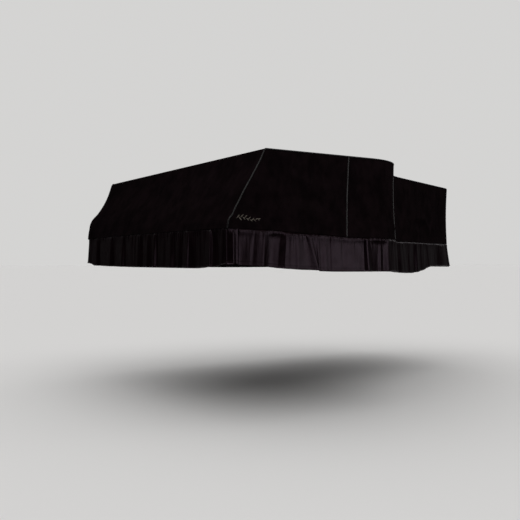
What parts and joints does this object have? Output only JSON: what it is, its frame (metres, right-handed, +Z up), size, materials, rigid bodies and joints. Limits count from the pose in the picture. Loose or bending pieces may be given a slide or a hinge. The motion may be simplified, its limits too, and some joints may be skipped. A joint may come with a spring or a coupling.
{
  "type": "grand piano cover",
  "caption": "Fitted cover for a grand piano: a velvet top and slope over the keys, velvet sides with corded seams, and a loose satin flounce along the lower edge.",
  "frame": {"origin": "on the underside of the top, in the middle of the cover's width and length, where the closed lid of the piano carries it", "axes": "+X to the treble side, on the player's right; +Y from the keys to the tail; +Z up"},
  "size_m": [1.5568, 1.9987, 0.4771],
  "materials": {
    "velvet": "black velvet with a short, matt nap",
    "satin": "black satin with a soft grey sheen",
    "piping": "cord covered in black satin"
  },
  "bodies": {
    "root": {"top": "velvet", "side_treble": "velvet", "side_bend": "velvet", "side_hollow": "velvet", "side_tail": "velvet", "side_bass": "velvet", "piping_lid": "piping", "piping_treble": "piping", "piping_bend": "piping", "piping_tail": "piping", "piping_bass": "piping", "flounce_front": "satin", "flounce_treble": "satin", "flounce_hollow": "satin", "flounce_tail": "satin", "flounce_bass": "satin"}
  },
  "joints": []
}
